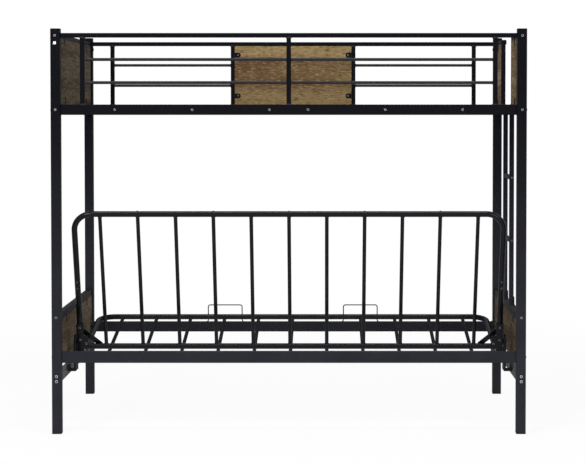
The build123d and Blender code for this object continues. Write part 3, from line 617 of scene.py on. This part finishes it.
def make_boards():
    """The panels, with one board on either side of the gate."""
    for node, thin in (("guard_panel", 1), ("end_panel_upper_left", 0),
                       ("end_panel_lower_left", 0), ("end_panel_lower_right", 0)):
        low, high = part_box(node)
        keep_board(board(low, high, thin), f"{node}_board", node)
    node = "end_panels_upper_right"
    low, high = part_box(node)
    gate_side = GATE_Y + GUARD_HALF
    rear = board(low, (high.x, -gate_side, high.z), 0)
    front = board((low.x, gate_side, low.z), high, 0)
    keep_board(joined([rear, front]), f"{node}_boards", node)


# Bolts and screws: a kind is its head's radius and height and its shank's radius
FRAME_BOLT = (0.0065, 0.0030, 0.0030)
SMALL_SCREW = (0.0050, 0.0020, 0.0020)
HINGE_BOLT = (0.0090, 0.0040, 0.0050)
SHANK_SHOWN = 0.004
HEAD_TURN = 0.7

# A head: its rim and its socket's depth in shares of its height, the socket's width in shares
# of its radius, and the crown's width in socket widths
DOME_STEPS = 4
DOME_SIDES = 24
HEAD_RIM = 0.30
HEX_DEEP = 0.6
HEX_WIDE = 0.38
CROWN_WIDE = 1.2

# The bright ring on a head, a painted highlight, in shares of the head's radius and of its own thickness
RIM_RADIUS = 0.58
RIM_THICK = 0.14
RIM_FLAT = 0.35

# The brighter ring on a base tube's bolt, a painted highlight: its radius, thickness and height
BASE_CROWN = (0.0050, 0.0011, 0.0024)

# A lock nut, in shares of the height of its bolt's head, and the insets of its top in metres
NUT_TALL = 0.8
NUT_COLLAR = 0.2
NUT_BORE = 0.3
NUT_INSETS = (0.0018, 0.0008, 0.0014)
NUT_EDGE = 0.0006


def button_head(radius, tall, shank_radius):
    """A domed head on the origin, with a hexagonal socket and the start of its shank."""
    rim = tall * HEAD_RIM
    socket = radius * HEX_WIDE
    obj = disc(radius, rim, DOME_SIDES)
    pick(obj, looks_up)
    last_r, last_z = radius, rim
    for step in range(1, DOME_STEPS + 1):
        share = step / DOME_STEPS
        r = radius - (radius - socket * CROWN_WIDE) * share
        z = rim + (tall - rim) * math.sqrt(1 - (1 - share) ** 2)
        inset(last_r - r, z - last_z)
        last_r, last_z = r, z
    inset(last_r - socket)
    ring = bmesh.from_edit_mesh(obj.data)
    sixth = math.pi / 3
    for vert in [v for v in ring.verts if v.select]:
        turn = math.atan2(vert.co.y, vert.co.x) % sixth - sixth / 2
        vert.co.xy = vert.co.xy.normalized() * socket * math.cos(sixth / 2) / math.cos(turn)
    bmesh.update_edit_mesh(obj.data)
    extrude((0, 0, -tall * HEX_DEEP))
    close_edit()
    pick(obj, looks_down)
    inset(radius - shank_radius)
    extrude((0, 0, -SHANK_SHOWN))
    close_edit()
    smooth(obj)
    return obj


def rim_ring(radius, thick, height):
    """A flat bright ring on a head's crown, a painted highlight."""
    obj = torus(radius, thick, DOME_SIDES, height)
    obj.scale = (1, 1, RIM_FLAT)
    settle(obj)
    smooth(obj)
    return obj


def fasteners(name, body, kind, seats, *stands_for):
    """A group of like bolts: heads at their seats, each seat a place and the way out of it."""
    radius, tall, _ = kind
    places = [facing(at, way, i * HEAD_TURN) for i, (at, way) in enumerate(seats)]
    heads = copies(button_head(*kind), places)
    keep(finished(heads, name, ZINC), body, "bolt_steel", *stands_for)
    # Each head gets a bright ring: a painted highlight
    thick = radius * RIM_THICK
    rings = copies(rim_ring(radius * RIM_RADIUS, thick, tall - thick * RIM_FLAT), places)
    wear_and_highlight = BRIGHT_HIGHLIGHT_RIM if kind == FRAME_BOLT else DIM_HIGHLIGHT_RIM
    keep(finished(rings, f"{name}_painted_highlight_rims", wear_and_highlight), body, "bolt_steel")


def frame_bolt_seats():
    """Bolts through the posts, and those of the sofa's brackets and guide plates."""
    seats = []
    for sx, sy in CORNERS:
        seats += [((sx * POST_X, sy * POST_FACE_Y, z), (0, sy, 0)) for z in END_BOLT_ZS]
        seats += [((sx * POST_FACE_X, sy * POST_Y, z), (sx, 0, 0)) for z in RAIL_BOLT_ZS]
    plate_x = END_INNER_X - BRACKET_PLATE
    seats += [((sx * plate_x, y, BRACKET_BOLT_Z), (-sx, 0, 0))
              for y in BRACKET_BOLT_YS for sx in ENDS]
    return seats


def tab_places():
    """Root, way, face and reach of every tab that holds a panel."""
    guard_x = FRONT_UPRIGHT_XS[2] - GUARD_HALF
    guard_y = POST_Y - GUARD_HALF
    places = [((sx * guard_x, guard_y, z), (-sx, 0, 0), (0, -1, 0), TAB_REACH)
              for sx in ENDS for z in (DECK_TOP + GUARD_TAB_IN, GUARD_UNDER - GUARD_TAB_IN)]
    for sx in ENDS:
        for y, low, high, low_reach in (
                (UPPER_TAB_YS[sx], DECK_TOP, TOP_TUBE_UNDER, TAB_REACH),
                (LOWER_TAB_Y, BASE_TOP, PANEL_TUBE_UNDER, TAB_REACH + LOWER_PANEL_GAP)):
            for sy in (1, -1):
                root = (sx * END_INNER_X, sy * y)
                places.append(((*root, low), UP, (-sx, 0, 0), low_reach))
                places.append(((*root, high), DOWN, (-sx, 0, 0), TAB_REACH))
    return [(Vector(root), Vector(way), Vector(face), reach) for root, way, face, reach in places]


def small_screw_seats():
    """Screws of the panels' tabs, of the ladder's two rungs and of its foot brackets."""
    seats = [(root + way * (reach - TAB_SCREW_IN) + face * TAB_THICK, face)
             for root, way, face, reach in tab_places()]
    step = (DECK_TOP - DECK_TUBE_TALL - PANEL_TUBE_TOP) / LADDER_STEPS
    seats += [((POST_X, sy * STILE_FACE_Y, PANEL_TUBE_TOP + step * i), (0, sy, 0))
              for i in range(1, LADDER_STEPS) for sy in ENDS]
    seats += [((STILE_FACE_X, sy * STILE_Y, PANEL_TUBE_TOP + SHOE_SCREW_UP), (1, 0, 0))
              for sy in ENDS]
    return seats


def back_screw_seats():
    """Small screws over the spindles and beside the back's seams, and the recline arms' bolts."""
    tips = [(on_back(x, BACK_TOP + TUBE_RADIUS), BACK_UP) for x in SPINDLE_XS[1::2]]
    sleeves = [(on_back(sx * SIDE_TUBE_X, SLEEVE_UP + s * SLEEVE_SCREW_OFF, TUBE_RADIUS), BACK_OUT)
               for sx in ENDS for s in ENDS]
    arms = [(on_back(sx * x, up, TUBE_RADIUS + ARM_PLATE), BACK_OUT)
            for sx in ENDS for x, up in ARM_BOLTS]
    return tips + sleeves, arms


def make_fasteners():
    """Every bolt and screw but those that the sofa turns on."""
    fasteners("post_and_bracket_bolts", "bunk_frame", FRAME_BOLT, frame_bolt_seats(),
              "frame_bolts")
    slat_seats = [((x, sy * (POST_Y + RAIL_HALF), DECK_BOLT_Z), (0, sy, 0))
                  for x in BOLTED_XS for sy in ENDS]
    fasteners("deck_slat_bolts", "bunk_frame", FRAME_BOLT, slat_seats, "slat_bolts")
    fasteners("panel_and_ladder_screws", "bunk_frame", SMALL_SCREW, small_screw_seats(),
              "small_screws")
    small, large = back_screw_seats()
    fasteners("back_tube_screws", "backrest", SMALL_SCREW, small, "back_screws")
    fasteners("recline_arm_screws", "backrest", FRAME_BOLT, large, "back_screws")
    # Brighter rings on the base tubes' bolts: painted highlights
    crowns = [facing((sx * POST_X, sy * POST_FACE_Y, z), (0, sy, 0))
              for sx, sy in CORNERS for z in BASE_BOLT_ZS]
    ring = copies(rim_ring(*BASE_CROWN), crowns)
    keep(finished(ring, "base_bolt_painted_highlight_rings", BRIGHT_HIGHLIGHT_RIM), "bunk_frame", "bolt_steel")


def hinge_bolt(length):
    """A pivot bolt along +Z from its head's seat: domed socket head below, lock nut above."""
    radius, tall, shank = HINGE_BOLT
    rod = disc(shank, length, DOME_SIDES)
    head = button_head(*HINGE_BOLT)
    head.data.transform(Matrix.Rotation(math.pi, 4, "X"))
    nut = disc(radius, tall * NUT_TALL, 6, length)
    flat, collar, crown = NUT_INSETS
    pick(nut, looks_up)
    inset(flat)
    inset(collar, tall * NUT_COLLAR)
    inset(crown)
    extrude((0, 0, -tall * NUT_BORE))
    close_edit()
    bevel(nut, NUT_EDGE)
    smooth(nut)
    return joined([rod, head, nut])


def make_hinge_bolts():
    """The bolts and nuts that the back and the seat turn on."""
    inner = SIDE_TUBE_X - ARM_HALF
    for name, body, at, outer, node in (
            ("back_pivot_bolts_and_nuts", "bunk_frame", PIVOT, EAR_OUTER_X, "back_pivot_bolts"),
            ("seat_hinge_bolts_and_nuts", "backrest", HINGE, SIDE_TUBE_X + ARM_HALF,
             "seat_hinge_bolts")):
        places = [facing((sx * inner, at.y, at.z), (sx, 0, 0)) for sx in ENDS]
        bolt = copies(hinge_bolt(outer - inner), places)
        keep(finished(bolt, name, ZINC), body, "bolt_steel", node)


# Welds: beads round tubes, straight beads, and the skin that they share
BEAD = 0.0023
WIDE_BEAD = 0.0036
WIDE_BEAD_SEGMENTS = 40
SQUARENESS = 8
BAR_BEAD = 0.0013
BAR_SIDES = 10
BAR_CUTS = (0.0, -0.35, -0.2, -0.1, 0.1, 0.2, 0.35)
SKIN_DEEP = 0.0006
SKIN_CLOUD = 0.004
FAR_END_TURN = 2.0
TAB_BEAD_LONG = 0.021
TAB_BEAD_UP = 0.0004


def square_ring(half):
    """A weld bead round a square tube."""
    obj = torus(half, WIDE_BEAD, WIDE_BEAD_SEGMENTS)
    for vert in obj.data.vertices:
        flat = vert.co.xy
        way = flat.normalized()
        size = (abs(way.x) ** SQUARENESS + abs(way.y) ** SQUARENESS) ** (1 / SQUARENESS)
        vert.co.xy = way * (half / size + flat.length - half)
    return obj


def saddle_ring():
    """A weld bead round a spindle, bent down over the sofa tube that the spindle meets."""
    obj = torus(SPINDLE_RADIUS, BEAD)
    for vert in obj.data.vertices:
        vert.co.z += math.sqrt(TUBE_RADIUS ** 2 - vert.co.y ** 2) - TUBE_RADIUS
    return obj


def bead_bar(length):
    """A straight bead along X, with rounded ends, cut across so that its skin can ripple."""
    deselect()
    bpy.ops.mesh.primitive_cylinder_add(vertices=BAR_SIDES, radius=BAR_BEAD, depth=length)
    obj = bpy.context.object
    obj.rotation_euler = (0, math.pi / 2, 0)
    settle(obj)
    bevel(obj, BAR_BEAD * 0.8)
    select(obj)
    bpy.ops.object.mode_set(mode="EDIT")
    for share in BAR_CUTS:
        bpy.ops.mesh.select_all(action="SELECT")
        bpy.ops.mesh.bisect(plane_co=(length * share, 0, 0), plane_no=(1, 0, 0))
    close_edit()
    return obj


def ripple(obj):
    """The uneven skin of a weld bead."""
    select(obj)
    cloud = bpy.data.textures.new("ripple", "CLOUDS")
    cloud.noise_scale = SKIN_CLOUD
    skin = obj.modifiers.new("skin", "DISPLACE")
    skin.texture = cloud
    skin.strength = SKIN_DEEP
    skin.mid_level = 0.5
    bpy.ops.object.modifier_apply(modifier=skin.name)


def weld(obj, name, body, places):
    """A group of like beads."""
    ripple(obj)
    smooth(obj, math.radians(80))
    keep(finished(copies(obj, places), name, WELD), body, "black_metal")


def make_welds():
    """Beads on the guards, the gate's stubs, the tabs, the spindles and the seat's slats."""
    rod_ends = []
    for y, xs in ((-POST_Y, REAR_UPRIGHT_XS), (POST_Y, FRONT_UPRIGHT_XS)):
        spans = list(zip(xs, xs[1:]))
        if xs == FRONT_UPRIGHT_XS:
            # The guard panel fills the middle span
            del spans[1]
        for low, high in spans:
            for z in GUARD_ROD_ZS:
                rod_ends.append(facing((low + GUARD_HALF, y, z), (1, 0, 0)))
                rod_ends.append(facing((high - GUARD_HALF, y, z), (-1, 0, 0), FAR_END_TURN))
    weld(torus(GUARD_ROD_RADIUS, BEAD), "guard_rod_welds", "bunk_frame", rod_ends)

    uprights = [(x, -POST_Y) for x in REAR_UPRIGHT_XS] + [(x, POST_Y) for x in FRONT_UPRIGHT_XS]
    upright_ends = [facing((x, y, DECK_TOP), UP) for x, y in uprights]
    upright_ends += [facing((x, y, GUARD_UNDER), DOWN) for x, y in uprights]
    upright_ends += [facing((GATE_X, sy * GATE_Y, DECK_TOP), UP) for sy in ENDS]
    weld(square_ring(GUARD_HALF), "guard_upright_welds", "bunk_frame", upright_ends)

    quarter = math.pi / 2
    gate_side = GATE_Y + GUARD_HALF
    stub_ends = [facing((END_INNER_X, sy * gate_side, TOP_TUBE_UNDER + STUB_TALL / 2),
                        (-1, 0, 0), quarter) for sy in ENDS]
    weld(bead_bar(STUB_TALL), "gate_stub_welds", "bunk_frame", stub_ends)
    tabs = [facing(root + face * TAB_THICK + way * TAB_BEAD_UP, face, 0.0 if way.z else quarter)
            for root, way, face, _ in tab_places()]
    weld(bead_bar(TAB_BEAD_LONG), "panel_tab_welds", "bunk_frame", tabs)

    for name, body, place, way, low, high in (
            ("spindle_welds", "backrest", on_back, BACK_UP,
             TUBE_RADIUS - CROSS_DOWN, BACK_TOP - TUBE_RADIUS),
            ("seat_slat_welds", "seat", on_seat, SEAT_AHEAD,
             SEAT_REAR + TUBE_RADIUS, SEAT_FRONT - TUBE_RADIUS)):
        ends = [facing(place(x, low), way) for x in SPINDLE_XS]
        ends += [facing(place(x, high), -way) for x in SPINDLE_XS]
        weld(saddle_ring(), name, body, ends)


# Plastic caps and feet, each with a plug that goes into its post
CAP_TOP = 1.7095
CAP_MIDDLE_IN = 0.0055
CAP_MIDDLE_RISE = 0.0005
CAP_EDGE = 0.0017
FOOT_TALL = 0.005
FOOT_EDGE = 0.0009
SOLE_IN = 0.004
SOLE_HOLLOW = 0.001
PLUG_IN = 0.0022
PLUG_LONG = 0.016


def post_plate(sx, sy, low, high):
    """A plate as wide as a post, between two heights."""
    x, y = sx * POST_X, sy * POST_Y
    return cuboid((x - POST_HALF, y - POST_HALF, low), (x + POST_HALF, y + POST_HALF, high))


def add_plug(plate, looks, way):
    """Draws a plug out of one face of a plate, up or down."""
    pick(plate, looks)
    inset(PLUG_IN)
    extrude(Vector(way) * PLUG_LONG)
    close_edit()


def post_cap(sx, sy):
    """A cap with a slightly raised middle."""
    cap = post_plate(sx, sy, POST_TOP, CAP_TOP)
    pick(cap, looks_up)
    inset(CAP_MIDDLE_IN, CAP_MIDDLE_RISE)
    close_edit()
    add_plug(cap, looks_down, DOWN)
    bevel(cap, CAP_EDGE, 3, SHARP)
    smooth(cap)
    return cap


def post_foot(sx, sy):
    """A foot pad with a hollow in its sole."""
    foot = post_plate(sx, sy, 0.0, FOOT_TALL)
    add_plug(foot, looks_up, UP)
    pick(foot, looks_down)
    inset(SOLE_IN)
    inset(SOLE_HOLLOW, -SOLE_HOLLOW)
    close_edit()
    bevel(foot, FOOT_EDGE, 2, SHARP)
    smooth(foot)
    return foot


def make_caps_and_feet():
    caps = joined([post_cap(sx, sy) for sx, sy in CORNERS])
    feet = joined([post_foot(sx, sy) for sx, sy in CORNERS])
    keep(finished(caps, "post_top_caps", PLASTIC), "bunk_frame", "black_plastic", "post_caps")
    keep(finished(feet, "post_foot_pads", PLASTIC), "bunk_frame", "black_plastic", "post_feet")


# Slat sockets, with ribs underneath that end at a share of the socket's length
SOCKET_HALF_WIDE = 0.0181
SOCKET_HALF_TALL = 0.0106
SOCKET_LONG = 0.026
SOCKET_WALL = 0.003
SOCKET_EDGE = 0.0012
RIB_XS = (-0.010, 0.0, 0.010)
RIB_HALF = 0.0008
RIB_FROM = 0.0015
RIB_TO = 0.7
RIB_PROUD = 0.0010
RIB_SUNK = 0.0004
RIB_EDGE = 0.0004


def slat_socket():
    """A moulded socket round a slat's end, mouth towards +Y, its back on the origin's plane."""
    wide, tall = SOCKET_HALF_WIDE, SOCKET_HALF_TALL
    obj = cuboid((-wide, 0, -tall), (wide, SOCKET_LONG, tall))
    pick(obj, lambda normal: normal.y > SQUARE_ON)
    inset(SOCKET_WALL)
    extrude((0, SOCKET_WALL - SOCKET_LONG, 0))
    close_edit()
    bevel(obj, SOCKET_EDGE, 2, SHARP)
    smooth(obj)
    ribs = []
    for x in RIB_XS:
        rib = cuboid((x - RIB_HALF, RIB_FROM, -tall - RIB_PROUD),
                     (x + RIB_HALF, SOCKET_LONG * RIB_TO, -tall + RIB_SUNK))
        bevel(rib, RIB_EDGE, 1)
        ribs.append(rib)
    return joined([obj] + ribs)


def make_slat_sockets():
    """Sockets on the deck rails' inner faces, for the slats that aren't bolted."""
    held = [x for x in SLAT_XS if x not in BOLTED_XS]
    inner_y = POST_Y - RAIL_HALF
    turned = Matrix.Rotation(math.pi, 4, "Z")
    places = [Matrix.Translation((x, -inner_y, DECK_BOLT_Z)) for x in held]
    places += [Matrix.Translation((x, inner_y, DECK_BOLT_Z)) @ turned for x in held]
    sockets = finished(copies(slat_socket(), places), "slat_end_sockets", PLASTIC)
    keep(sockets, "bunk_frame", "black_plastic", "slat_holders")


# Small fittings
STICKER_AT = (-0.9815, -0.530, 1.6495)
STICKER_HALF = 0.0060
STICKER_THICK = 0.0003
STICKER_EDGE = 0.0002
STUD_Z = 1.6555
STUD_RADIUS = 0.0072
STUD_RIM = 0.0014
STUD_DOME = ((0.0008, 0.0012), (0.0014, 0.0011), (0.0020, 0.0007))
SEAM_BEAD = 0.00035
SEAM_SEGMENTS = 40


def make_sticker():
    """A blank square of paper on the rear left post."""
    x, y, z = STICKER_AT
    obj = cuboid((x - STICKER_HALF, y - STICKER_THICK, z - STICKER_HALF),
                 (x + STICKER_HALF, y, z + STICKER_HALF))
    bevel(obj, STICKER_EDGE, 1)
    keep(finished(obj, "blank_sticker", LABEL), "bunk_frame", "black_metal")


def make_studs():
    """Domed plastic plugs in the inner faces of the front posts, under the guard rail."""
    plug = disc(STUD_RADIUS, STUD_RIM, DOME_SIDES)
    pick(plug, looks_up)
    for thick, rise in STUD_DOME:
        inset(thick, rise)
    close_edit()
    smooth(plug)
    places = [facing((sx * (POST_X - POST_HALF), POST_Y, STUD_Z), (-sx, 0, 0)) for sx in ENDS]
    plugs = finished(copies(plug, places), "front_post_plugs", PLASTIC)
    keep(plugs, "bunk_frame", "black_plastic")


def make_sleeve_seams():
    """The joints where the back's hoop meets its side tubes."""
    places = [facing(on_back(sx * SIDE_TUBE_X, SLEEVE_UP), BACK_UP) for sx in ENDS]
    seam = torus(TUBE_RADIUS, SEAM_BEAD, SEAM_SEGMENTS)
    smooth(seam)
    keep(finished(copies(seam, places), "back_tube_seams", PLASTIC), "backrest", "black_metal")


def paint_nodes():
    """The solids' finishes, by their names, their slots and where their tubes are."""
    bodies = frame["record"]["behaviour"]["bodies"]
    sofa_nodes = {*bodies["backrest"], *bodies["seat"]}
    for name, obj in nodes.items():
        finish = OAKS.get(name) or NODE_FINISH.get(name) or SLOT_FINISH[slots[name]]
        if finish == POWDER:
            if name in sofa_nodes:
                finish = TUBE
            # The base tubes take the coat made paler with painted light
            elif name.startswith("end_base_tube"):
                finish = BASE
            # The ends' other tubes take the coat darkened with painted shade
            elif name.startswith("end_"):
                finish = INNER
        obj.data.materials.clear()
        obj.data.materials.append(finish)


# Stage: the floor's white, the world's light, and lamps of name, place, power, width and depth
FLOOR_WIDE = 60
FLOOR_Z = -0.0005
WHITE_NEAR = 0.92
WHITE_REACH = (1.6, 4.5)
WORLD_LIGHT = 0.40
LAMPS_AIM = Vector((0, 0, 0.8))
LAMPS = (("key", (-3.2, -5.6, 3.8), 235.0, 2.4, 2.4),
         ("fill", (3.6, -5.2, 1.6), 90.0, 2.8, 2.8),
         ("back", (1.0, 5.2, 4.4), 30.0, 4.0, 4.0),
         ("strip", (0.0, -2.2, 5.4), 130.0, 3.6, 0.5))


def aim_camera():
    """The photograph's camera, which is partly shifted and tilted for the rest."""
    data = bpy.data.cameras.new("camera")
    data.sensor_width = SENSOR
    data.lens = SENSOR * FOCAL_PX / PHOTO_WIDTH
    data.shift_x = (PHOTO_WIDTH / 2 - VANISH_X_PX) / PHOTO_WIDTH
    data.shift_y = SHIFT_Y
    unshifted = (PHOTO_HEIGHT / 2 - VANISH_Y_PX) + SHIFT_Y * PHOTO_WIDTH
    camera = bpy.data.objects.new("camera", data)
    camera.location = CAMERA_AT
    camera.rotation_euler = (math.pi / 2 - math.atan(unshifted / FOCAL_PX), 0, 0)
    bpy.context.collection.objects.link(camera)
    bpy.context.scene.camera = camera


def seen_rays(tree):
    """1 for rays that show the surroundings: from the camera, off gloss and through glass."""
    rays = tree.nodes.new("ShaderNodeLightPath")
    total = rays.outputs["Is Camera Ray"]
    for name in ("Is Glossy Ray", "Is Transmission Ray"):
        most = tree.nodes.new("ShaderNodeMath")
        most.operation = "MAXIMUM"
        tree.links.new(total, most.inputs[0])
        tree.links.new(rays.outputs[name], most.inputs[1])
        total = most.outputs[0]
    return total


def lay_floor():
    """A pale floor that is seen as white, more so with distance, with a soft shadow on it."""
    deselect()
    bpy.ops.mesh.primitive_plane_add(size=FLOOR_WIDE, location=(0, 0, FLOOR_Z))
    floor = settle(bpy.context.object)
    m = Finish("floor_pale")
    m.set(Base_Color=(0.86, 0.86, 0.86), Roughness=0.8)
    floor.data.materials.append(m.material)
    floor.name = "floor"
    length = m.node("ShaderNodeVectorMath", {"operation": "LENGTH"}, {0: m.place})
    white = m.spread(Val(m, length.outputs["Value"]), *WHITE_REACH, WHITE_NEAR, 1.0)
    share = Val(m, seen_rays(m.tree)) * white
    glow = m.node("ShaderNodeEmission", None, {"Color": (1.0, 1.0, 1.0), "Strength": 1.0})
    surfaces = {0: share, 1: Val(m, m.shader.outputs[0]), 2: Val(m, glow.outputs[0])}
    mix = m.node("ShaderNodeMixShader", None, surfaces)
    m.tree.links.new(mix.outputs[0], m.tree.nodes["Material Output"].inputs[0])


def light_room():
    """A dim world that is seen as white, and soft lamps."""
    world = bpy.data.worlds.new("studio")
    bpy.context.scene.world = world
    world.use_nodes = True
    tree = world.node_tree
    background = tree.nodes["Background"]
    background.inputs["Color"].default_value = (0.94, 0.96, 1.0, 1)
    background.inputs["Strength"].default_value = WORLD_LIGHT
    plain = tree.nodes.new("ShaderNodeBackground")
    plain.inputs["Color"].default_value = (1, 1, 1, 1)
    plain.inputs["Strength"].default_value = 1.0
    mix = tree.nodes.new("ShaderNodeMixShader")
    tree.links.new(seen_rays(tree), mix.inputs[0])
    tree.links.new(background.outputs[0], mix.inputs[1])
    tree.links.new(plain.outputs[0], mix.inputs[2])
    tree.links.new(mix.outputs[0], tree.nodes["World Output"].inputs[0])
    for name, at, power, wide, deep in LAMPS:
        data = bpy.data.lights.new(name, "AREA")
        data.energy = power
        data.shape = "RECTANGLE"
        data.size = wide
        data.size_y = deep
        lamp = bpy.data.objects.new(name, data)
        lamp.location = at
        lamp.rotation_euler = (LAMPS_AIM - Vector(at)).to_track_quat("-Z", "Y").to_euler()
        bpy.context.collection.objects.link(lamp)


deselect()
paint_nodes()
make_boards()
make_fasteners()
make_hinge_bolts()
make_welds()
make_caps_and_feet()
make_slat_sockets()
make_sticker()
make_studs()
make_sleeve_seams()
deselect()
aim_camera()
lay_floor()
light_room()
bpy.context.scene.view_settings.view_transform = "Standard"
